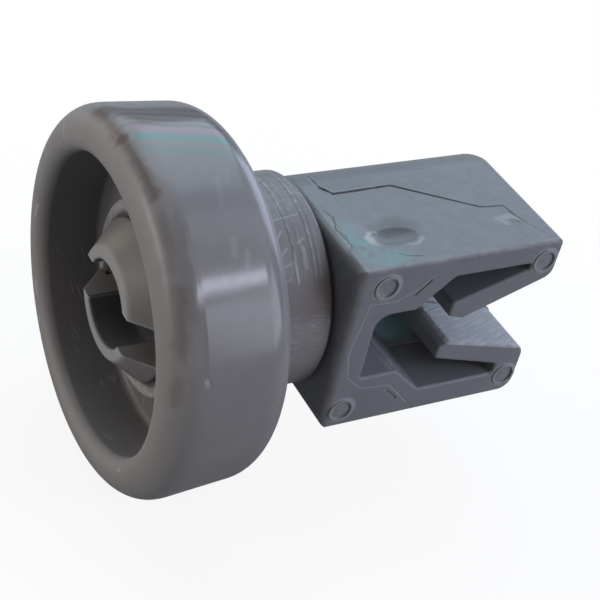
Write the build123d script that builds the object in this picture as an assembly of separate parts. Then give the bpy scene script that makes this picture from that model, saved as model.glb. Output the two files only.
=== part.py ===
from build123d import *
import os

# Dishwasher basket wheel: a cup-shaped wheel that turns on the stub axle of a clip bracket.
# Millimetres. The wheel turns about Y, its open side faces -Y, the bracket is on the +Y side, +Z is up.
# The origin is where the middle of the basket wire lies in the clip: on the axle line, in the middle of the pocket.

# Wheel
wheel_diameter = 40.0
wheel_width = 13.5
tread_crown_width = 3.6       # the front stretch of the tread that has the full diameter
tread_taper = 0.65            # the tread is smaller in radius at the back by this much
lip_width = 4.5               # the front face, from the tread to the mouth of the cup
lip_inner_round = 1.3         # round between the front face and the cup wall
lip_flat_width = 0.1          # what the two rounds of the lip leave flat between them
cup_draft = 0.4               # the cup is smaller in radius at its floor by this much
cup_depth = 7.3
cup_floor_round = 0.8
back_edge_round = 3.4
boss_radius = 10.2            # the boss in the cup that the snap prongs bear on
boss_foot_radius = 10.9
boss_height = 2.2             # above the cup floor
boss_edge_round = 0.35
neck_radius = 11.4
neck_length = 8.1             # beyond the back face of the wheel
neck_root_round = 2.4
neck_end_chamfer = 0.4
bore_radius = 7.4
bore_mouth_chamfer = 0.6      # where the bore opens in the boss

# Running fits
axle_clearance = 0.08         # between axle and bore, on the radius
end_play = 0.3                # at each end of the wheel's hub

# Stub axle and its two snap prongs
prong_inner_radius = 4.6
prong_tip_radius = 5.8
prong_barb_radius = 8.4
prong_lead_length = 2.85      # the cone that opens the way through the bore
prong_land_length = 0.3
prong_slot_width = 4.4
prong_slot_length = 15.5      # from the tips
hollow_end_wall = 0.15        # the hollow ends this far short of the block
tip_inner_chamfer = 0.1
tip_edge_round = 0.2

# Clip block
block_length = 24.8
block_height = 21.0
flat_side_x = 13.1            # the flat side, the other side is a half round about the axle line
wall_edge_round = 1.1         # round the outline of the wall that faces the wheel
far_top_round = 0.5
far_bottom_round = 1.7
hook_outer_round = 1.5
flat_edge_round = 0.3         # all edges of the flat side

# Clip profile, seen from +X: u runs from the wall that faces the wheel, z from the axle line
wire_seat_u = 8.0             # the middle of the wire, and the origin
wall_thickness = 3.45
top_leg_inner_z = 7.85
bottom_leg_inner_z = -7.5
pocket_roof_z = 4.2
pocket_step_z = -4.1
corner_block_u = 8.0          # where the 45 degree faces of pocket roof and step begin
corner_block_slope = 0.94
slot_end_u = 21.4
upper_nose_u = 12.5
upper_nose_low_z = 2.4
upper_nose_high_z = 4.15
upper_hook_start = (14.5, 1.85)
upper_hook_lower_slope = 0.384
upper_hook_upper_slope = 0.3285
lower_nose_u = 12.5
lower_nose_low_z = -3.41
lower_nose_high_z = -1.9
lower_hook_start = (13.9, -1.37)
lower_hook_lower_slope = -0.307
lower_hook_upper_slope = -0.272
pocket_corner_round = 1.7
nose_round = 0.6
hook_start_round = 0.8
upper_slot_end_round = 0.35
lower_slot_end_round = 0.5
step_corner_round = 0.3
leg_corner_round = 0.5

# Marks of the mould
parting_x = 6.1               # where the two halves of the mould meet inside the clip
parting_step = 0.12           # mismatch of the two halves
parting_route = (             # across the top, from the half round to the flat side
    (-4.5, 2.9),
    (-1.0, 2.6),
    (0.4, 3.6),
    (0.25, 10.6),
    (5.9, 18.7),
    (6.2, 21.4),
    (8.1, 21.7),
    (flat_side_x, 24.0),
)
dishes = (                    # x, u, width, length and depth of the ovals where thick corners shrank
    (8.4, 6.5, 3.0, 5.7, 0.5),
    (9.1, 20.7, 1.2, 2.0, 0.25),
)
dish_steepness = 0.75         # share of the cutter's own width that a dish shows
ejector_radius = 1.45
ejector_rim_width = 0.3
ejector_rim_height = 0.13
ejector_sink = 0.06
ejector_depth = 1.0
ejector_places = ((3.5, 8.0), (23.0, 8.0), (23.1, -8.05), (2.1, -8.2))
groove_width = 0.22
groove_length = 2.4
groove_depth = 0.1
groove_places = ((8.0, 7.2, 47), (8.0, -7.3, -43))

# Sizes and places that follow from the ones above, where y runs along the axle line
wheel_radius = wheel_diameter / 2
cup_mouth_radius = wheel_radius - lip_width
lip_outer_round = lip_width - lip_inner_round - lip_flat_width
wall_y = -wire_seat_u
neck_end_y = wall_y - end_play
back_y = neck_end_y - neck_length
front_y = back_y - wheel_width
cup_floor_y = front_y + cup_depth
boss_face_y = cup_floor_y - boss_height
barb_back_y = boss_face_y - end_play
lead_end_y = barb_back_y - prong_land_length
prong_tip_y = lead_end_y - prong_lead_length
hollow_end_y = wall_y - hollow_end_wall
axle_radius = bore_radius - axle_clearance
block_half_height = block_height / 2


def make_wheel():
    """Cup, tread, boss, bore and neck, turned as one moulding."""
    back_radius = wheel_radius - tread_taper
    cup_floor_radius = cup_mouth_radius - cup_draft
    with BuildSketch(Plane.XY) as section:
        with BuildLine():
            Polyline(
                (bore_radius, boss_face_y),
                (boss_radius, boss_face_y),
                (boss_foot_radius, cup_floor_y),
                (cup_floor_radius, cup_floor_y),
                (cup_mouth_radius, front_y),
                (wheel_radius, front_y),
                (wheel_radius, front_y + tread_crown_width),
                (back_radius, back_y),
                (neck_radius, back_y),
                (neck_radius, neck_end_y),
                (bore_radius, neck_end_y),
                close=True,
            )
        make_face()

        def round_at(radius_from_axis, y, size):
            corner = section.vertices().sort_by_distance((radius_from_axis, y, 0))[0]
            fillet(corner, size)

        round_at(wheel_radius, front_y, lip_outer_round)
        round_at(cup_mouth_radius, front_y, lip_inner_round)
        round_at(cup_floor_radius, cup_floor_y, cup_floor_round)
        round_at(boss_radius, boss_face_y, boss_edge_round)
        round_at(back_radius, back_y, back_edge_round)
        round_at(neck_radius, back_y, neck_root_round)
        end_corner = section.vertices().sort_by_distance((neck_radius, neck_end_y, 0))[0]
        chamfer(end_corner, neck_end_chamfer)
        mouth_corner = section.vertices().sort_by_distance((bore_radius, boss_face_y, 0))[0]
        chamfer(mouth_corner, bore_mouth_chamfer)
    return revolve(section.sketch, axis=Axis.Y)


def make_axle():
    """Stub axle with a hollow end, split into an upper and a lower snap prong."""
    root_y = wall_y + wall_thickness / 2
    with BuildSketch(Plane.XY) as section:
        with BuildLine():
            Polyline(
                (0, hollow_end_y),
                (prong_inner_radius, hollow_end_y),
                (prong_inner_radius, prong_tip_y),
                (prong_tip_radius, prong_tip_y),
                (prong_barb_radius, lead_end_y),
                (prong_barb_radius, barb_back_y),
                (axle_radius, barb_back_y),
                (axle_radius, root_y),
                (0, root_y),
                close=True,
            )
        make_face()
        inner_tip = section.vertices().sort_by_distance((prong_inner_radius, prong_tip_y, 0))[0]
        chamfer(inner_tip, tip_inner_chamfer)
        for radius_from_axis, y in ((prong_tip_radius, prong_tip_y), (prong_barb_radius, lead_end_y)):
            corner = section.vertices().sort_by_distance((radius_from_axis, y, 0))[0]
            fillet(corner, tip_edge_round)
    axle = revolve(section.sketch, axis=Axis.Y)
    slot_box = Box(4 * wheel_radius, prong_slot_length, prong_slot_width)
    return axle - Pos(0, prong_tip_y + prong_slot_length / 2, 0) * slot_box


def side_plane(x):
    """Plane whose first axis is u and whose second axis is z, at the given x, with its normal along +X."""
    return Plane(origin=(x, wall_y, 0), x_dir=(0, 1, 0), z_dir=(1, 0, 0))


def rounded_face(plane, corners):
    """Face with the given corners, each with its own round, where a round of 0 stays sharp."""
    with BuildSketch(plane) as sketch:
        with BuildLine():
            Polyline(*[point for point, size in corners], close=True)
        make_face()
        for (u, z), size in corners:
            if size > 0:
                corner = sketch.vertices().sort_by_distance((u, z, 0))[0]
                fillet(corner, size)
    return sketch.sketch


def outer_corners():
    """Corners of the block as it would be with no clip cut in it."""
    return (
        ((0, block_half_height), 0),
        ((0, -block_half_height), 0),
        ((block_length, -block_half_height), far_bottom_round),
        ((block_length, block_half_height), far_top_round),
    )


def clip_corners():
    """Corners of the clip opening, from the mouth round the lower hook, the pocket and the upper hook."""
    rise = top_leg_inner_z - pocket_roof_z
    drop = pocket_step_z - bottom_leg_inner_z
    upper_u, upper_z = upper_hook_start
    lower_u, lower_z = lower_hook_start
    upper_slot_run = slot_end_u - upper_nose_u
    lower_slot_run = slot_end_u - lower_nose_u
    return (
        ((block_length, lower_z + lower_hook_upper_slope * (block_length - lower_u)), hook_outer_round),
        (lower_hook_start, hook_start_round),
        ((lower_nose_u, lower_nose_high_z), nose_round),
        ((lower_nose_u, lower_nose_low_z), nose_round),
        ((slot_end_u, lower_nose_low_z + lower_hook_lower_slope * lower_slot_run), lower_slot_end_round),
        ((slot_end_u, bottom_leg_inner_z), lower_slot_end_round),
        ((corner_block_u + drop / corner_block_slope, bottom_leg_inner_z), step_corner_round),
        ((corner_block_u, pocket_step_z), step_corner_round),
        ((wall_thickness, pocket_step_z), step_corner_round),
        ((wall_thickness, pocket_roof_z), pocket_corner_round),
        ((corner_block_u, pocket_roof_z), leg_corner_round),
        ((corner_block_u + rise / corner_block_slope, top_leg_inner_z), leg_corner_round),
        ((slot_end_u, top_leg_inner_z), upper_slot_end_round),
        ((slot_end_u, upper_nose_high_z + upper_hook_upper_slope * upper_slot_run), upper_slot_end_round),
        ((upper_nose_u, upper_nose_high_z), nose_round),
        ((upper_nose_u, upper_nose_low_z), nose_round),
        (upper_hook_start, hook_start_round),
        ((block_length, upper_z + upper_hook_lower_slope * (block_length - upper_u)), hook_outer_round),
    )


def make_block():
    """Clip block: half round on one side, flat on the other, with the clip profile cut right through."""
    with BuildSketch(Plane(origin=(0, wall_y, 0), x_dir=(1, 0, 0), z_dir=(0, 1, 0))) as outline:
        Circle(block_half_height)
        with Locations((flat_side_x / 2, 0)):
            Rectangle(flat_side_x, block_height)
    prism = extrude(outline.sketch, amount=block_length)
    wall_face = prism.faces().sort_by(Axis.Y)[0]
    prism = fillet(wall_face.edges(), wall_edge_round)
    outer = outer_corners()
    plane = side_plane(parting_x)
    block_face = rounded_face(plane, outer)
    clip_face = rounded_face(plane, outer[:3] + clip_corners() + outer[3:])
    tight_face = offset(clip_face, amount=parting_step) & block_face
    near_half = extrude(clip_face, amount=flat_side_x - parting_x)
    flat_side = near_half.faces().sort_by(Axis.X)[-1]
    near_half = fillet(flat_side.edges(), flat_edge_round)
    far_half = extrude(tight_face, amount=-(parting_x + block_half_height))
    return prism & (near_half + far_half)


def ejector_mark(u, z):
    """Round mark of an ejector pin on the flat side: a pad with a fine raised rim, and the sunk disc to cut."""
    sink_radius = ejector_radius - ejector_rim_width
    sink_depth = ejector_sink + ejector_rim_height
    pad_depth = ejector_depth + ejector_rim_height
    pad = Cylinder(ejector_radius, pad_depth, align=(Align.CENTER, Align.CENTER, Align.MAX))
    sink = Cylinder(sink_radius, sink_depth, align=(Align.CENTER, Align.CENTER, Align.MAX))
    place = side_plane(flat_side_x + ejector_rim_height).location * Pos(u, z, 0)
    return place * pad, place * sink


def lowered_top():
    """The wedge that the near half of the mould leaves off the top, up to the stepped parting line."""
    over = 1.0
    first_x, first_u = parting_route[0]
    last_x, last_u = parting_route[-1]
    top_at_wall = (0, wall_y, block_half_height - parting_step)
    tilted_top = Plane(origin=top_at_wall, x_dir=(1, 0, 0), z_dir=(0, -parting_step, block_length))
    with BuildSketch(tilted_top) as near_side:
        with BuildLine():
            Polyline(
                *parting_route,
                (last_x + over, last_u),
                (last_x + over, -over),
                (first_x, -over),
                close=True,
            )
        make_face()
    return extrude(near_side.sketch, amount=over)


def shallow_dish(x, u, width, length, depth):
    """Flattened ball that cuts a shallow oval dish in the top."""
    rise = (1 - dish_steepness**2) ** 0.5
    half_height = depth / (1 - rise)
    half_width = width / 2 / dish_steepness
    half_length = length / 2 / dish_steepness
    ball = scale(Sphere(1), by=(half_width, half_length, half_height))
    return Pos(x, wall_y + u, block_half_height + half_height * rise) * ball


def groove(u, z, angle):
    """A fine straight groove in the flat side, where a mould insert ends."""
    cutter = Box(groove_length, groove_width, 2 * groove_depth)
    return side_plane(flat_side_x).location * Pos(u, z, 0) * Rot(0, 0, angle) * cutter


def make_bracket():
    """Clip block and stub axle as one moulding, with the marks that its mould leaves."""
    bracket = make_block() + make_axle()
    bracket -= lowered_top()
    for x, u, width, length, depth in dishes:
        bracket -= shallow_dish(x, u, width, length, depth)
    for u, z in ejector_places:
        pad, sink = ejector_mark(u, z)
        bracket = bracket + pad - sink
    for u, z, angle in groove_places:
        bracket -= groove(u, z, angle)
    return bracket


os.makedirs("parts", exist_ok=True)
export_step(make_wheel(), "parts/wheel.step")
export_step(make_bracket(), "parts/clip_bracket.step")
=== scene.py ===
import math
import bpy
from mathutils import Matrix, Vector


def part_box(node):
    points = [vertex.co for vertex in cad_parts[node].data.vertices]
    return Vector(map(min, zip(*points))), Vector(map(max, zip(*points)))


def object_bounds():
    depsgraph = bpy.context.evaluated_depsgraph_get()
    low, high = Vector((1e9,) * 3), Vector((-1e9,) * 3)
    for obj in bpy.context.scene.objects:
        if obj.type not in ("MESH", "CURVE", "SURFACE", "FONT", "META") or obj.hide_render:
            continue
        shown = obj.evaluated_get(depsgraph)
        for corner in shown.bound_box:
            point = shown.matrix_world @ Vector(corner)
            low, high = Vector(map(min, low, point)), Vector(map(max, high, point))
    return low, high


# Looks of the dishwasher basket wheel. Lengths are metres, and millimetres where a name ends in _mm.
# The origin lies in the clip, the wheel's open side faces -Y, the bracket's flat side faces +X, +Z is up.
# A pair named as an edge runs from just outside a zone to just inside it, and a zone is two such pairs.

# Camera, fitted to the edges of the wheel and the bracket in the photograph
camera_place = (0.0987434, -0.0765469, 0.0894314)
camera_azimuth = 54.67
camera_elevation = 36.324
camera_roll = 13.70
camera_sensor = 36.0
camera_lens = 84.326
camera_shift = (0.0083, -0.04945)
camera_clip = (0.005, 10.0)

# Floor and light
floor_size = 4.0
floor_gap = 0.0001            # between the floor and the wheel's lowest point
floor_color = (0.32, 0.32, 0.32)
floor_seen_color = (0.95, 0.95, 0.95)
floor_seen = 0.88             # share of plain white in what the camera sees of the floor near the wheel
shadow_fade = (0.03, 0.075)   # distances from the middle of the floor between which that share rises to 1
world_color = (0.95, 0.97, 1.0)
world_level = 0.015
lamp_distance = 0.6
lamps = (
    # name, azimuth, elevation, width, height, watts, colour
    ("sky_left", -105.0, 46.0, 0.70, 0.60, 1.95, (0.80, 0.98, 1.06)),
    ("sky_back", -152.0, 45.0, 0.80, 0.70, 1.00, (0.72, 0.94, 1.16)),
    ("sky_high", -60.0, 78.0, 0.40, 0.40, 0.35, (1.00, 0.97, 1.08)),
    ("sky_right", 145.0, 45.0, 0.40, 0.40, 0.42, (0.95, 0.98, 1.18)),
    ("back", -160.0, 12.0, 0.36, 0.36, 0.88, (0.86, 0.93, 1.22)),
    ("right", 138.0, 12.0, 0.40, 0.34, 1.30, (0.92, 0.97, 1.14)),
    ("corner", 82.0, 10.0, 0.60, 0.30, 0.40, (1.06, 0.96, 0.84)),
    ("front", -10.0, 12.0, 0.36, 0.36, 1.85, (1.04, 1.00, 0.94)),
    ("left", -60.0, 12.0, 0.36, 0.36, 0.50, (1.12, 1.00, 0.84)),
    ("through", -96.0, 8.0, 0.30, 0.24, 0.80, (0.80, 0.98, 1.10)),
    ("window", 121.0, 36.5, 0.26, 0.06, 0.48, (0.94, 0.98, 1.18)),
)
lamps_without_glint = ("through",)

# Plastic
plastic_ior = 1.49
roughness_limits = (0.05, 0.95)
bevel_samples = 4
wheel_edge_mm = 0.12          # radius that broken edges seem to have
bracket_edge_mm = 0.32
streak_softness = 0.09

# Colours of the wheel
wheel_dark = (0.176, 0.165, 0.163)
wheel_light = (0.235, 0.224, 0.227)
wheel_worn = (0.46, 0.46, 0.48)
# painted reflection: dark lines across the tread
reflected_dark_brown = (0.11, 0.085, 0.095)
# painted shade in the cup
cup_shade_gray = (0.110, 0.107, 0.112)
lip_mark_brown = (0.085, 0.062, 0.055)
dark_ring_black = (0.03, 0.027, 0.025)
neck_brown = (0.130, 0.100, 0.105)
# painted reflections: teal and pink bands across the tread
reflected_teal = (0.09, 0.235, 0.22)
reflected_pink = (0.265, 0.165, 0.235)

# Zones of the wheel: edges in y where they lie along the axle, and in radius round it
tread_edge_mm = (18.4, 19.0)
tread_radius_mm = 19.9
scuff_edge_mm = (15.0, 15.6)
neck_edge_mm = (12.6, 11.9)
neck_root_edge_mm = (-16.6, -15.8)
neck_radius_mm = 11.4
lip_edge_mm = (-27.6, -28.8)
lip_face_edge_mm = (-28.9, -29.2)
lip_round_edge_mm = (17.0, 17.6)
cup_wall_edge_mm = (15.9, 15.4)
cup_wall_start_mm = (-28.6, -27.9)
cup_floor_edge_mm = (-21.8, -22.3)
cup_shade_edge_mm = (16.0, 15.7)
cup_shade_start_mm = (-28.8, -28.3)
boss_foot_edge_mm = (10.8, 11.3)
boss_edge_mm = (10.6, 10.2)
boss_face_mm = -24.8
boss_face_reach_mm = (0.7, 0.4)

# Marks of the tread: y along the axle, and arc round it from the top.
# A stripe is a painted reflection, given as its arc, its half widths at foot and crest, and its strength.
stripe_zone_mm = ((-28.4, -27.0), (-17.6, -19.4))
stripe_pivot_mm = -23.4
stripe_slope = 0.18
teal_reflection_rows = ((0.85, 0.75, 0.25, 1.0), (2.8, 1.0, 0.2, 0.35))
pink_reflection_rows = ((-0.55, 0.75, 0.25, 1.0),)
dark_reflection_rows = (
    (-1.45, 0.50, 0.08, 1.0),
    (-2.45, 0.30, 0.08, 0.7),
    (-3.75, 0.30, 0.08, 1.0),
    (-5.3, 0.35, 0.08, 0.6),
)
tread_rubs = (                # start, end, half the width and strength
    ((-21.8, 6.4), (-22.4, 9.2), 0.55, 0.10),
    ((-22.3, 12.8), (-22.5, 14.1), 0.60, 0.15),
    ((-21.1, 14.0), (-21.4, 15.2), 0.50, 0.15),
    ((-20.6, 5.6), (-20.9, 6.8), 0.45, 0.08),
)
tread_nick = ((-26.5, 25.0), (-26.3, 25.6))
nick_half_mm = (0.34, 0.05)

# Marks of the lip: dark brown marks as (y, arc) on its outer round, and small pale flecks as (x, z)
lip_dark_marks = (                # start, end, half the width and strength
    ((-28.5, -7.6), (-28.6, -0.5), 1.0, 0.75),
    ((-28.6, -0.5), (-28.3, 7.5), 0.9, 0.65),
    ((-28.6, 10.0), (-28.8, 14.5), 1.0, 0.22),
    ((-28.3, 16.5), (-28.5, 22.0), 1.1, 0.30),
    ((-28.9, 25.2), (-29.0, 27.4), 0.9, 0.24),
)
lip_flecks = (
    ((-11.7, 13.8), (-10.9, 13.0), 0.22, 1.0),
    ((-16.2, 1.0), (-16.4, -0.5), 0.26, 1.0),
    ((-14.3, -8.0), (-13.6, -9.3), 0.20, 1.0),
    ((-12.2, -11.2), (-12.0, -11.6), 0.20, 1.0),
    ((11.5, -11.7), (11.9, -11.3), 0.20, 1.0),
)

# Marks of the neck: y along the axle, and arc round it from the top
neck_slope = 0.04
neck_rings = ((-13.6, 0.5), (-11.7, 1.0), (-10.9, 0.4), (-9.7, 0.9), (-9.1, 0.5))     # y and strength
ring_half_mm = (0.20, 0.05)
ring_shade_half_mm = (0.26, 0.05)
ring_shade_step_mm = 0.32     # from a ring to the shade beside it
ring_zone_mm = ((-6.0, -2.0), (11.5, 9.5))
neck_strokes = (              # start, end, half the width and strength
    ((-10.91, 7.1), (-10.98, 9.2), 0.17, 1.0),
    ((-12.18, 8.4), (-12.12, 10.5), 0.13, 1.0),
    ((-13.84, 8.9), (-12.58, 8.5), 0.11, 1.0),
    ((-13.45, 7.6), (-12.75, 7.0), 0.12, 1.0),
    ((-13.63, 6.0), (-12.75, 5.1), 0.11, 1.0),
    ((-12.95, 3.7), (-10.31, 3.4), 0.08, 1.0),
    ((-13.70, 10.4), (-12.90, 10.0), 0.09, 1.0),
    ((-11.40, 6.6), (-10.60, 6.1), 0.10, 1.0),
)
neck_stroke_shares = (1.9, 0.4)     # of the half width, at a stroke's foot and at its crest
hair_zone_mm = ((12.0, 15.0), (22.0, 19.0))
fine_edge_mm = (12.0, 9.0)
top_wear_edge_mm = (5.0, 1.0)
neck_dark_zone_mm = ((9.5, 11.5), (15.5, 13.0))

# Marks of the boss and the cup, where the zones are radii
torn_zone_mm = ((9.0, 9.4), (10.5, 10.0))
torn_off_slot_mm = (3.0, 5.5)       # up or down from the middle of the slot
dark_ring_zone_mm = ((7.2, 7.4), (9.1, 8.7))
dark_ring_start_mm = (-23.6, -24.0)    # in y
cup_hair_edge_mm = (-1.0, -6.0)     # in z
cup_hair_radius_mm = 15.0

# Colours of the bracket
bracket_dark = (0.162, 0.165, 0.177)
bracket_light = (0.212, 0.217, 0.233)
# pale marks: wear, and painted highlights on the dish's rim and along the edges
bracket_wear_and_highlight = (0.48, 0.48, 0.49)
prong_dark = (0.176, 0.167, 0.163)
prong_light = (0.218, 0.208, 0.204)
# painted shade inside the prongs
hollow_shade_black = (0.05, 0.05, 0.055)
# painted shade on the dish's floor
dish_shade_brown = (0.088, 0.078, 0.080)
step_black = (0.035, 0.033, 0.036)
# painted teal reflection of the sky on the top
reflected_sky_teal = (0.14, 0.34, 0.34)
tint_pink = (0.28, 0.20, 0.27)
# painted light on the pocket's floor
pocket_light_blue = (0.26, 0.44, 0.50)

# Zones of the bracket, where u is y from the wall
wall_mm = -8.0
top_edge_mm = (9.6, 10.0)               # in z
top_wall_edge_mm = (-7.9, -7.4)         # in y
rear_top_edge_mm = (10.37, 10.46)       # in z
flat_edge_mm = (12.95, 13.05)           # in x
prong_edge_mm = (-23.5, -24.3)          # in y
prong_tip_edge_mm = (-27.75, -28.15)    # in y
hollow_edge_mm = (4.75, 4.65)           # radius
slot_half_mm = 2.2
slot_start_mm = (0.01, 0.03)            # from the slot's face, as the next
slot_rub_mm = (0.35, 0.10)

# Marks of the top, as (x, y); a spot is its centre and half its sizes
parting_route_mm = (
    (-4.5, -5.1), (-1.0, -5.4), (0.4, -4.4), (0.25, 2.6),
    (5.9, 10.7), (6.2, 13.4), (8.1, 13.7), (13.1, 16.0),
)
parting_half_mm = (0.15, 0.03)
parting_fade_mm = (9.4, 8.2)            # in x
parting_ragged_mm = (0.0, -4.0)         # in y
pale_lip_mm = 0.24                      # from the parting line to the pale lip beside it
pale_lip_half_mm = (0.12, 0.02)
pale_lip_fade_mm = (6.0, -1.0)          # in y
chip_depth_mm = 0.9                     # from the wall
chip_zone_mm = ((1.5, 4.0), (10.5, 8.5))      # in x
crack_mm = ((10.9, -2.6), (11.6, -1.9), (11.9, -0.4))
dish_spot = ((8.4, -1.5), (1.7, 3.0))
dish_shade_spot = ((7.3, -0.9), (2.3, 3.2))
# where part of the dish's rim is painted lighter: painted highlight
rim_highlight_spots = (((8.2, -3.9), (1.3, 1.3), 1.0), ((9.4, 0.3), (1.0, 1.6), 0.45))      # the last is the strength
smear_spot = ((8.4, 12.3), (1.0, 1.9))
# painted teal reflection of the sky on the top, near the wall
sky_reflection_spots = (((8.4, -5.6), (4.6, 1.9)), ((11.4, -4.0), (1.6, 3.4)))
pink_tint_spot = ((6.9, -4.8), (1.6, 1.2))

# Marks of the flat side, as (u, z)
ejector_places = ((3.5, 8.0), (23.0, 8.0), (23.1, -8.05), (2.1, -8.2))
ejector_rim_mm = 1.42
ejector_rim_half_mm = (0.45, 0.15)
ejector_disc_mm = (1.2, 1.0)
insert_lines = (
    ((2.2, 6.1), (5.3, 6.0), (7.9, 7.35), (9.2, 8.6)),
    ((1.9, -3.6), (3.9, -5.5), (7.6, -5.9), (10.5, -9.05)),
    ((2.2, 6.1), (1.2, -0.35), (1.9, -3.6)),
)
insert_half_mm = (0.20, 0.04)
# a painted highlight along the top and wall edges of the flat side
top_edge_highlight_mm = ((9.7, 10.3), (12.3, 12.9))      # edges in z and in x
wall_edge_highlight_mm = ((1.3, 0.7), (11.8, 12.5))      # edges in u and in x

# Inside the clip: the lower hook's upper face as a line in (u, z), the leg's step, and the pocket's floor
# where a pool of light is painted
hook_start_mm = (13.9, -1.37)
hook_slope = 0.272
hook_reach_mm = (0.35, 0.15)            # from that line
hook_nose_edge_mm = (12.4, 13.0)        # in u
hook_worn_nose_mm = (14.4, 13.7)        # in u
hook_worn_side_mm = (12.0, 12.9)        # in x
step_height_mm = ((-7.4, -7.0), (-3.7, -4.0))       # in z
step_stretch_mm = ((6.5, 7.6), (12.5, 11.5))        # in u
step_depth_mm = ((3.0, 8.0), (12.9, 12.6))          # in x
pocket_light_spot = ((1.5, 6.0), (4.8, 4.2))              # in x and y
pocket_side_mm = (6.3, 5.9)                         # in x
pocket_height_mm = ((-8.2, -7.8), (-6.8, -7.2))     # in z

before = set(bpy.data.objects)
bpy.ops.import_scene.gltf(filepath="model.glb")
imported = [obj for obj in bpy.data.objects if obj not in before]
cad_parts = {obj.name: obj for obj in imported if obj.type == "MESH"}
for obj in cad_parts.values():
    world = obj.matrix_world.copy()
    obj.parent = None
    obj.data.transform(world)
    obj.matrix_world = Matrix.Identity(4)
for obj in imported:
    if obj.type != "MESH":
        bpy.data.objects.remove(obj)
cad_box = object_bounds()


class Field:
    """A number that varies over a surface, built from the nodes of one material."""

    def __init__(self, tree, socket):
        self.tree = tree
        self.socket = socket

    def math(self, operation, *others):
        node = self.tree.nodes.new("ShaderNodeMath")
        node.operation = operation
        for value, entry in zip((self, *others), node.inputs):
            feed(self.tree, value, entry)
        return Field(self.tree, node.outputs[0])

    def __add__(self, other):
        return self.math("ADD", other)

    def __sub__(self, other):
        return self.math("SUBTRACT", other)

    def __mul__(self, other):
        return self.math("MULTIPLY", other)

    __radd__ = __add__

    def far_from(self, value):
        """How far the number is from a value."""
        return (self - value).math("ABSOLUTE")

    def between(self, low, high):
        """Rises smoothly from 0 at low to 1 at high, or falls where high is the lower one."""
        node = self.tree.nodes.new("ShaderNodeMapRange")
        node.interpolation_type = "SMOOTHSTEP"
        feed(self.tree, self, node.inputs["Value"])
        rising = high > low
        node.inputs["From Min"].default_value = low if rising else high
        node.inputs["From Max"].default_value = high if rising else low
        node.inputs["To Min"].default_value = 0.0 if rising else 1.0
        node.inputs["To Max"].default_value = 1.0 if rising else 0.0
        return Field(self.tree, node.outputs["Result"])

    def within(self, first, second):
        """1 inside a zone that has these two soft edges."""
        return self.between(*first) * self.between(*second)


def feed(tree, value, entry):
    """Gives a node's input a number, a colour or another node's result."""
    if isinstance(value, Field):
        tree.links.new(value.socket, entry)
    else:
        entry.default_value = value


def vector(tree, x, y, z):
    node = tree.nodes.new("ShaderNodeCombineXYZ")
    for value, entry in zip((x, y, z), node.inputs):
        feed(tree, value, entry)
    return Field(tree, node.outputs[0])


def grain(tree, place, scale, detail=2.0, roughness=0.5):
    """Noise from 0 to 1 around 0.5, where scale is in waves per millimetre."""
    node = tree.nodes.new("ShaderNodeTexNoise")
    feed(tree, place, node.inputs["Vector"])
    node.inputs["Scale"].default_value = scale
    node.inputs["Detail"].default_value = detail
    node.inputs["Roughness"].default_value = roughness
    return Field(tree, node.outputs["Fac"])


def streaks(tree, across, along, fine, long, level):
    """Straight broken lines: so many per millimetre across and along, and fewer where level is higher."""
    noise = grain(tree, vector(tree, across * fine, along * long, 0.0), 1.0, 1.0)
    return noise.between(level, level + streak_softness)


def segment(across, along, start, end):
    """Distance to a straight stretch in the plane of the two given coordinates."""
    run = Vector(end) - Vector(start)
    from_start = (across - start[0], along - start[1])
    share = (from_start[0] * run[0] + from_start[1] * run[1]) * (1.0 / run.length_squared)
    share = share.math("MAXIMUM", 0.0).math("MINIMUM", 1.0)
    return distance(from_start[0] - share * run[0], from_start[1] - share * run[1])


def distance(across, along):
    return (across * across + along * along).math("SQRT")


def nearest(gaps):
    """The smallest of several distances."""
    smallest = gaps[0]
    for gap in gaps[1:]:
        smallest = smallest.math("MINIMUM", gap)
    return smallest


def route(across, along, points):
    """Distance to a line of straight stretches."""
    return nearest([segment(across, along, start, end) for start, end in zip(points, points[1:])])


def spot(across, along, centre, size):
    """Squared distance from a centre in units of an oval's half sizes: 1 on the oval."""
    a = (across - centre[0]) * (1.0 / size[0])
    b = (along - centre[1]) * (1.0 / size[1])
    return a * a + b * b


def strokes(across, along, rows, ragged=0.0, foot=1.0, crest=0.0):
    """Short marks given as start, end, half width and strength. Foot and crest are shares of that width."""
    return sum(
        (segment(across, along, start, end) + ragged).between(width * foot, width * crest) * level
        for start, end, width, level in rows
    )


def stripes(value, rows):
    """Soft stripes, given as the value in their middle, half widths at foot and crest, and strength."""
    return sum(value.far_from(middle).between(foot, crest) * level for middle, foot, crest, level in rows)


def blend_color(tree, amount, low, high):
    node = tree.nodes.new("ShaderNodeMix")
    node.data_type = "RGBA"
    node.clamp_factor = True
    feed(tree, amount, node.inputs["Factor"])
    for value, name in ((low, "A"), (high, "B")):
        entry = [s for s in node.inputs if s.name == name and s.type == "RGBA"][0]
        feed(tree, (*value, 1.0) if isinstance(value, tuple) else value, entry)
    return Field(tree, [s for s in node.outputs if s.type == "RGBA"][0])


def lay_colors(tree, color, layers):
    """Lays colours over a colour, each as strong as its field says."""
    for amount, layer in layers:
        color = blend_color(tree, amount, color, layer)
    return color


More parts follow.
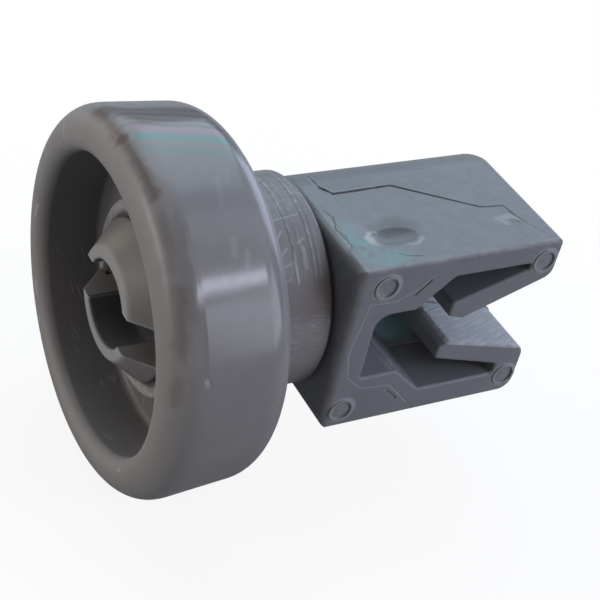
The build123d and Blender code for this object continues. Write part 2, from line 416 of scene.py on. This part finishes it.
def new_material(name):
    material = bpy.data.materials.new(name)
    material.use_nodes = True
    tree = material.node_tree
    tree.nodes.clear()
    shader = tree.nodes.new("ShaderNodeBsdfPrincipled")
    shader.inputs["IOR"].default_value = plastic_ior
    output = tree.nodes.new("ShaderNodeOutputMaterial")
    tree.links.new(shader.outputs["BSDF"], output.inputs["Surface"])
    coordinates = tree.nodes.new("ShaderNodeTexCoord")
    to_mm = tree.nodes.new("ShaderNodeVectorMath")
    to_mm.operation = "SCALE"
    to_mm.inputs["Scale"].default_value = 1000.0
    tree.links.new(coordinates.outputs["Object"], to_mm.inputs[0])
    split = tree.nodes.new("ShaderNodeSeparateXYZ")
    tree.links.new(to_mm.outputs[0], split.inputs[0])
    place = Field(tree, to_mm.outputs[0])
    x, y, z = (Field(tree, split.outputs[i]) for i in range(3))
    return material, tree, shader, place, (x, y, z)


def finish_material(tree, shader, color, roughness, height_mm, edge_mm):
    """Connects colour, roughness and a relief given in millimetres, with softly broken edges."""
    least, most = roughness_limits
    feed(tree, color, shader.inputs["Base Color"])
    feed(tree, roughness.math("MAXIMUM", least).math("MINIMUM", most), shader.inputs["Roughness"])
    edge = tree.nodes.new("ShaderNodeBevel")
    edge.samples = bevel_samples
    edge.inputs["Radius"].default_value = edge_mm / 1000.0
    bump = tree.nodes.new("ShaderNodeBump")
    bump.inputs["Strength"].default_value = 1.0
    bump.inputs["Distance"].default_value = 0.001
    tree.links.new(edge.outputs["Normal"], bump.inputs["Normal"])
    feed(tree, height_mm, bump.inputs["Height"])
    tree.links.new(bump.outputs["Normal"], shader.inputs["Normal"])


def wheel_material():
    """Grey moulded plastic with a glossy tread, a scratched neck and a worn ring on the boss."""
    material, tree, shader, place, (x, y, z) = new_material("wheel_plastic")
    radius = distance(x, z)
    turn = x.math("ARCTAN2", z)
    cloudy = grain(tree, place, 0.12, 3.0) - 0.5
    wavy = grain(tree, place, 0.3, 1.0) - 0.5
    mottle = grain(tree, place, 0.9, 4.0, 0.6)
    speck = grain(tree, place, 6.0, 2.0)
    uneven, gritty = mottle - 0.5, speck - 0.5
    patches = grain(tree, place, 0.33, 2.0).between(0.50, 0.66)

    # where the surface lies
    on_neck = y.between(*neck_root_edge_mm) * radius.between(*neck_edge_mm)
    on_tread = radius.between(*tread_edge_mm)
    on_boss = y.far_from(boss_face_mm).between(*boss_face_reach_mm) * radius.between(*boss_edge_mm)
    on_lip = y.between(*lip_edge_mm)
    in_cup = y.within(cup_wall_start_mm, cup_floor_edge_mm) * radius.between(*cup_wall_edge_mm)

    # tread: painted reflections as thin bands of colour and dark lines across its top, a few pale rubs and
    # a nick
    arc = turn * tread_radius_mm
    across_stripes = arc - (y - stripe_pivot_mm) * stripe_slope + uneven * 0.35 + wavy * 0.9
    on_stripes = on_tread * y.within(*stripe_zone_mm)
    teal_reflection = stripes(across_stripes, teal_reflection_rows) * on_stripes
    pink_reflection = stripes(across_stripes, pink_reflection_rows) * on_stripes
    dark_reflection = stripes(across_stripes, dark_reflection_rows) * on_stripes
    rubs = strokes(y, arc, tread_rubs)
    nick = (segment(y, arc, *tread_nick) + gritty * 0.8).between(*nick_half_mm)
    scuffs = streaks(tree, y + arc * 0.1, arc, 4.0, 0.22, 0.64) * patches * radius.between(*scuff_edge_mm)

    # neck: pale rings with a shade beside them, short strokes, and hairs along it lower down
    neck_arc = turn * neck_radius_mm
    slanted = y + neck_arc * neck_slope + uneven * 0.12
    rings = stripes(slanted, [(at, *ring_half_mm, level) for at, level in neck_rings])
    rings = rings * mottle.between(0.35, 0.6) * neck_arc.within(*ring_zone_mm)
    shades = [(at - ring_shade_step_mm, *ring_shade_half_mm, level) for at, level in neck_rings]
    ring_shade = stripes(slanted, shades) * neck_arc.within(*ring_zone_mm) * on_neck
    hatch = strokes(y, neck_arc, neck_strokes, gritty * 0.12, *neck_stroke_shares)
    hairs = (streaks(tree, neck_arc + y * 0.45, y, 5.0, 0.36, 0.58)
             + streaks(tree, neck_arc - y * 0.2, y, 7.0, 0.34, 0.54))
    hairs = hairs * mottle.between(0.35, 0.6) * neck_arc.within(*hair_zone_mm)
    fine = streaks(tree, y, neck_arc, 7.0, 0.25, 0.56) * neck_arc.between(*fine_edge_mm)
    top_wear = mottle.between(0.45, 0.62) * speck.between(0.40, 0.60) * neck_arc.between(*top_wear_edge_mm)
    neck_wear = (rings * 0.8 + hatch * 0.8 + hairs * 0.60 + fine * 0.15 + top_wear * 0.60) * on_neck
    neck_dark = neck_arc.within(*neck_dark_zone_mm) * on_neck

    # boss: the ring that the snap prongs rub is torn and pale above and below the slot, with a black ring
    # inside it
    torn = (radius + uneven * 2.2 + gritty * 0.5).within(*torn_zone_mm) * speck.between(0.35, 0.55)
    torn = torn * on_boss * z.math("ABSOLUTE").between(*torn_off_slot_mm)
    ring_from, ring_to = dark_ring_zone_mm
    dark_ring = (radius + uneven * 0.8).between(*ring_to) * radius.between(*ring_from)
    dark_ring = dark_ring * y.between(*dark_ring_start_mm)

    # lip: dark brown marks on its outer round, and a few pale flecks
    lip_marks = strokes(y, arc, lip_dark_marks, uneven * 1.1) * radius.between(*lip_round_edge_mm)
    flecks = strokes(x, z, lip_flecks, gritty * 0.9) * y.between(*lip_face_edge_mm)

    # cup: painted shade makes it darker than the lip, with hairs in the lower part of its wall and floor
    cup_shade = radius.within(cup_shade_edge_mm, boss_foot_edge_mm)
    cup_shade = cup_shade * y.within(cup_shade_start_mm, cup_floor_edge_mm)
    cup_wear = streaks(tree, y + turn * 6.0, turn * cup_hair_radius_mm, 4.5, 0.45, 0.58)
    cup_wear = cup_wear * in_cup * z.between(*cup_hair_edge_mm) * patches

    tone = 0.5 + cloudy * 0.9 + uneven * 0.5 + gritty * 0.18
    # the lip is painted lighter than the rest of the wheel: painted light, as light falls on it
    tone = tone - neck_dark * 0.9 - ring_shade * 0.8 - dark_reflection * 0.5 + on_lip * 0.35
    plain = lay_colors(tree, blend_color(tree, tone, wheel_dark, wheel_light), (
        # painted reflection: dark stripes across the tread
        (dark_reflection * 0.30, reflected_dark_brown),
        # painted shade in the cup
        (cup_shade * 0.75, cup_shade_gray),
        (lip_marks, lip_mark_brown),
        (dark_ring * 0.85, dark_ring_black),
        (neck_dark * 0.6, neck_brown),
        # painted reflections: teal and pink stripes across the tread
        (teal_reflection * 0.75, reflected_teal),
        (pink_reflection * 0.65, reflected_pink),
    ))
    pale = (rubs + scuffs * 0.05 + nick * 0.6 + neck_wear * 0.55 + torn * 0.45 + flecks * 0.5
            + cup_wear * 0.28)
    color = blend_color(tree, pale, plain, wheel_worn)
    rough = 0.42 + on_lip * 0.17 + on_neck * 0.06 - on_tread * 0.23
    rough = rough + cloudy * 0.14 + gritty * 0.06 + pale * 0.3
    relief_mm = (uneven * 0.008 + gritty * 0.002 + torn * uneven * 0.25 - neck_wear * 0.05
                 - neck_dark * 0.01 - ring_shade * 0.04 - scuffs * 0.004 - cup_wear * 0.012 - nick * 0.08)
    finish_material(tree, shader, color, rough, relief_mm, wheel_edge_mm)
    return material


def bracket_material():
    """Grey moulded plastic, stippled behind the parting line and smoother in front of it."""
    material, tree, shader, place, (x, y, z) = new_material("bracket_plastic")
    cloudy = grain(tree, place, 0.14, 3.0) - 0.5
    mottle = grain(tree, place, 0.8, 4.0, 0.6)
    uneven = mottle - 0.5
    stippled = grain(tree, place, 4.5, 3.0, 0.6) - 0.5
    gritty = grain(tree, place, 9.0, 2.0) - 0.5
    patches = grain(tree, place, 0.4, 2.0).between(0.48, 0.62)
    u = y - wall_mm

    # where the surface lies
    on_top = z.between(*top_edge_mm) * y.between(*top_wall_edge_mm)
    on_flat = x.between(*flat_edge_mm)
    behind = z.between(*rear_top_edge_mm) * on_top
    on_prongs = y.between(*prong_edge_mm)

    # top: dark step with a ragged pale lip where the halves of the mould met
    step = route(x, y, parting_route_mm) + uneven * (0.16 + y.between(*parting_ragged_mm) * 0.5)
    dark_step = step.between(*parting_half_mm) * on_top * x.between(*parting_fade_mm)
    pale_lip = step.far_from(pale_lip_mm).between(*pale_lip_half_mm) * on_top * y.between(*pale_lip_fade_mm)

    # top: brushed lines, chipped edge near the wall, painted shade on the dish's floor and a painted
    # highlight on part of its rim, a smear and a short crack
    combed = streaks(tree, x + uneven * 0.5, y, 4.5, 0.30, 0.48) * on_top
    chips = (u - chip_depth_mm + uneven * 4.0).between(0.6, 0.0) * on_top * x.within(*chip_zone_mm)
    dish_floor_shade = (spot(x, y, *dish_shade_spot) + uneven * 0.8).between(1.3, 0.0) * on_top
    dish_rim_highlight = (spot(x, y, *dish_spot) + uneven * 1.6 + stippled * 0.8).far_from(1.0)
    dish_rim_highlight = dish_rim_highlight.between(0.45, 0.05) * on_top
    dish_rim_highlight = dish_rim_highlight * sum(spot(x, y, centre, size).between(1.2, 0.2) * level for centre, size, level in rim_highlight_spots)
    smear = (spot(x, y, *smear_spot) + uneven * 2.4).between(1.0, 0.2) * on_top
    crack = (route(x, y, crack_mm) + uneven * 0.2).between(0.10, 0.03) * on_top

    # flat side: faint line of a mould insert round the clip opening, and the worn rims of the ejector marks
    insert = nearest([route(u, z, points) for points in insert_lines]).between(*insert_half_mm) * on_flat
    from_ejector = nearest([distance(u - mark_u, z - mark_z) for mark_u, mark_z in ejector_places])
    rims = (from_ejector + uneven * 0.25).far_from(ejector_rim_mm).between(*ejector_rim_half_mm) * on_flat
    discs = from_ejector.between(*ejector_disc_mm) * mottle.between(0.40, 0.60) * on_flat
    # flat side and top: a painted highlight along the rounded top and wall edges, broken up by mottle
    top_lit, side_lit = top_edge_highlight_mm
    wall_lit, wall_side_lit = wall_edge_highlight_mm
    lit_edges = (z.between(*top_lit) * x.between(*side_lit)
                 + u.between(*wall_lit) * x.between(*wall_side_lit))

    # brushed upper face of the lower hook, worn pale along its edges
    hook_rise = z - hook_start_mm[1] + (u - hook_start_mm[0]) * hook_slope
    on_hook = hook_rise.far_from(0.0).between(*hook_reach_mm) * u.between(*hook_nose_edge_mm)
    brushed = (streaks(tree, x + y * 0.4, y, 2.2, 0.35, 0.5)
               + streaks(tree, x - y * 0.9, y + x, 3.2, 0.4, 0.57) * 0.6)
    hook_edge = ((u + uneven * 1.4).between(*hook_worn_nose_mm)
                 + (x + uneven * 1.2).between(*hook_worn_side_mm))
    hook_wear = (brushed * 0.55 + hook_edge * 0.7) * on_hook

    # scratches on the slanted step of the lower leg, and faint rubs elsewhere
    step_wear = streaks(tree, u, x, 5.0, 0.3, 0.55) * z.within(*step_height_mm) * u.within(*step_stretch_mm)
    step_wear = step_wear * x.within(*step_depth_mm)
    scuffs = streaks(tree, y + z * 0.4, x + z, 4.5, 0.4, 0.66) * patches

    # a painted teal reflection of the sky and a pink tint near the wall on the top, and a painted pool of
    # light deep in the pocket
    sky_reflection = nearest([spot(x, y, centre, size) for centre, size in sky_reflection_spots])
    sky_reflection = (sky_reflection + uneven * 2.4).between(1.1, 0.2) * mottle.between(0.30, 0.60) * on_top
    pink_tint = (spot(x, y, *pink_tint_spot) + uneven * 1.6).between(1.0, 0.3) * on_top
    # painted pool of light on the far part of the pocket's floor
    pocket_light = (spot(x, y, *pocket_light_spot) + uneven * 1.2).between(1.1, 0.3)
    pocket_light = pocket_light * x.between(*pocket_side_mm) * z.within(*pocket_height_mm)

    # the prongs are warmer in colour, painted with shade inside, and pale at their tips and along the slot
    from_slot = z.math("ABSOLUTE") - slot_half_mm
    slot_edge = from_slot.within(slot_start_mm, slot_rub_mm)
    slot_edge = (slot_edge + y.between(*prong_tip_edge_mm) * from_slot.between(*slot_start_mm)) * on_prongs
    hollow_shade = distance(x, z).between(*hollow_edge_mm) * on_prongs

    tone = 0.5 + cloudy * 0.9 + uneven * 0.5 + stippled * 0.25 * behind + uneven * 0.8 * on_top
    tone = tone + (combed - 0.5) * 0.16 * on_top
    plain = lay_colors(tree, blend_color(tree, tone, bracket_dark, bracket_light), (
        # painted shade on the dish's floor
        (dish_floor_shade * 0.60, dish_shade_brown),
        ((dark_step + crack) * 0.72, step_black),
        # painted reflection of the sky on the top
        (sky_reflection * 0.50, reflected_sky_teal),
        (pink_tint * 0.35, tint_pink),
        # painted light in the pocket
        (pocket_light * 0.75, pocket_light_blue),
        (on_prongs * 0.9, blend_color(tree, tone, prong_dark, prong_light)),
        # painted shade inside the prongs
        (hollow_shade * 0.75, hollow_shade_black),
    ))
    # painted highlight along the top and wall edges
    edge_highlight = lit_edges * mottle.between(0.35, 0.60)
    # pale also carries a painted highlight on part of the dish's rim
    pale = (pale_lip * 0.45 + insert * 0.20 + scuffs * 0.08 + hook_wear * 0.40 + chips * 0.15 + dish_rim_highlight * 0.9
            + rims * 0.34 + discs * 0.14 + smear * 0.30 + edge_highlight * 0.12 + step_wear * 0.45)
    color = blend_color(tree, pale + slot_edge * 0.30, plain, bracket_wear_and_highlight)
    rough = 0.40 + behind * 0.10 + cloudy * 0.14 + gritty * 0.06 + (pale + slot_edge * 0.30) * 0.2
    relief_mm = (uneven * 0.010 + stippled * (0.006 + behind * 0.014) + combed * 0.006 + pale_lip * 0.06
                 + rims * 0.03 + discs * uneven * 0.05 - dark_step * 0.04 - crack * 0.05 - insert * 0.035
                 - scuffs * 0.01 - hook_wear * 0.03 - chips * 0.12)
    finish_material(tree, shader, color, rough, relief_mm, bracket_edge_mm)
    return material


def dress(node_name, material):
    """Gives a CAD node its detailed material."""
    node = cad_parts[node_name]
    node.data.materials.clear()
    node.data.materials.append(material)


def add_floor():
    """Pale floor: the camera sees it nearly white, and light on the object meets a plain grey."""
    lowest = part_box("wheel")[0].z
    bpy.ops.mesh.primitive_plane_add(size=floor_size, location=(0, 0, lowest - floor_gap))
    floor = bpy.context.object
    floor.name = "floor"
    material = bpy.data.materials.new("floor_paper")
    material.use_nodes = True
    tree = material.node_tree
    tree.nodes.clear()
    paper = tree.nodes.new("ShaderNodeBsdfDiffuse")
    seen = tree.nodes.new("ShaderNodeEmission")
    path = tree.nodes.new("ShaderNodeLightPath")
    coordinates = tree.nodes.new("ShaderNodeTexCoord")
    away = tree.nodes.new("ShaderNodeVectorMath")
    away.operation = "LENGTH"
    mix = tree.nodes.new("ShaderNodeMixShader")
    output = tree.nodes.new("ShaderNodeOutputMaterial")
    tree.links.new(coordinates.outputs["Object"], away.inputs[0])
    seen_share = Field(tree, away.outputs["Value"]).between(*shadow_fade) * (1.0 - floor_seen) + floor_seen
    camera_ray = Field(tree, path.outputs["Is Camera Ray"])
    feed(tree, blend_color(tree, camera_ray, floor_color, floor_seen_color), paper.inputs["Color"])
    feed(tree, camera_ray * seen_share, mix.inputs[0])
    tree.links.new(paper.outputs[0], mix.inputs[1])
    tree.links.new(seen.outputs[0], mix.inputs[2])
    tree.links.new(mix.outputs[0], output.inputs["Surface"])
    floor.data.materials.append(material)


def add_world():
    """Even pale light from all round, and plain white where the camera looks past the floor."""
    world = bpy.data.worlds.new("studio")
    world.use_nodes = True
    bpy.context.scene.world = world
    tree = world.node_tree
    tree.nodes.clear()
    light = tree.nodes.new("ShaderNodeBackground")
    light.inputs["Color"].default_value = (*world_color, 1.0)
    light.inputs["Strength"].default_value = world_level
    white = tree.nodes.new("ShaderNodeBackground")
    white.inputs["Color"].default_value = (1.0, 1.0, 1.0, 1.0)
    path = tree.nodes.new("ShaderNodeLightPath")
    mix = tree.nodes.new("ShaderNodeMixShader")
    output = tree.nodes.new("ShaderNodeOutputWorld")
    tree.links.new(path.outputs["Is Camera Ray"], mix.inputs[0])
    tree.links.new(light.outputs[0], mix.inputs[1])
    tree.links.new(white.outputs[0], mix.inputs[2])
    tree.links.new(mix.outputs[0], output.inputs["Surface"])


def direction(azimuth, elevation):
    """Unit vector out from the object: azimuth 0 is along -Y and 90 along +X."""
    a, e = math.radians(azimuth), math.radians(elevation)
    return Vector((math.sin(a) * math.cos(e), -math.cos(a) * math.cos(e), math.sin(e)))


def add_lamps():
    middle = (Vector(cad_box[0]) + Vector(cad_box[1])) / 2
    for name, azimuth, elevation, width, height, watts, color in lamps:
        data = bpy.data.lights.new(name, "AREA")
        data.shape = "RECTANGLE"
        data.size = width
        data.size_y = height
        data.energy = watts
        data.color = color
        lamp = bpy.data.objects.new(name, data)
        bpy.context.scene.collection.objects.link(lamp)
        out = direction(azimuth, elevation)
        lamp.location = middle + out * lamp_distance
        lamp.rotation_euler = out.to_track_quat("Z", "Y").to_euler()
        lamp.visible_glossy = name not in lamps_without_glint


def add_camera():
    data = bpy.data.cameras.new("camera")
    data.sensor_width = camera_sensor
    data.lens = camera_lens
    data.shift_x, data.shift_y = camera_shift
    data.clip_start, data.clip_end = camera_clip
    camera = bpy.data.objects.new("camera", data)
    bpy.context.scene.collection.objects.link(camera)
    back = direction(camera_azimuth, camera_elevation)
    level = Vector((0, 0, 1)).cross(back).normalized()
    up = back.cross(level)
    roll = math.radians(camera_roll)
    side = level * math.cos(roll) + up * math.sin(roll)
    rise = up * math.cos(roll) - level * math.sin(roll)
    turn = Matrix((side, rise, back)).transposed().to_4x4()
    camera.matrix_world = Matrix.Translation(camera_place) @ turn
    bpy.context.scene.camera = camera


dress("wheel", wheel_material())
dress("clip_bracket", bracket_material())
add_floor()
add_world()
add_lamps()
add_camera()
bpy.context.scene.view_settings.view_transform = "Standard"
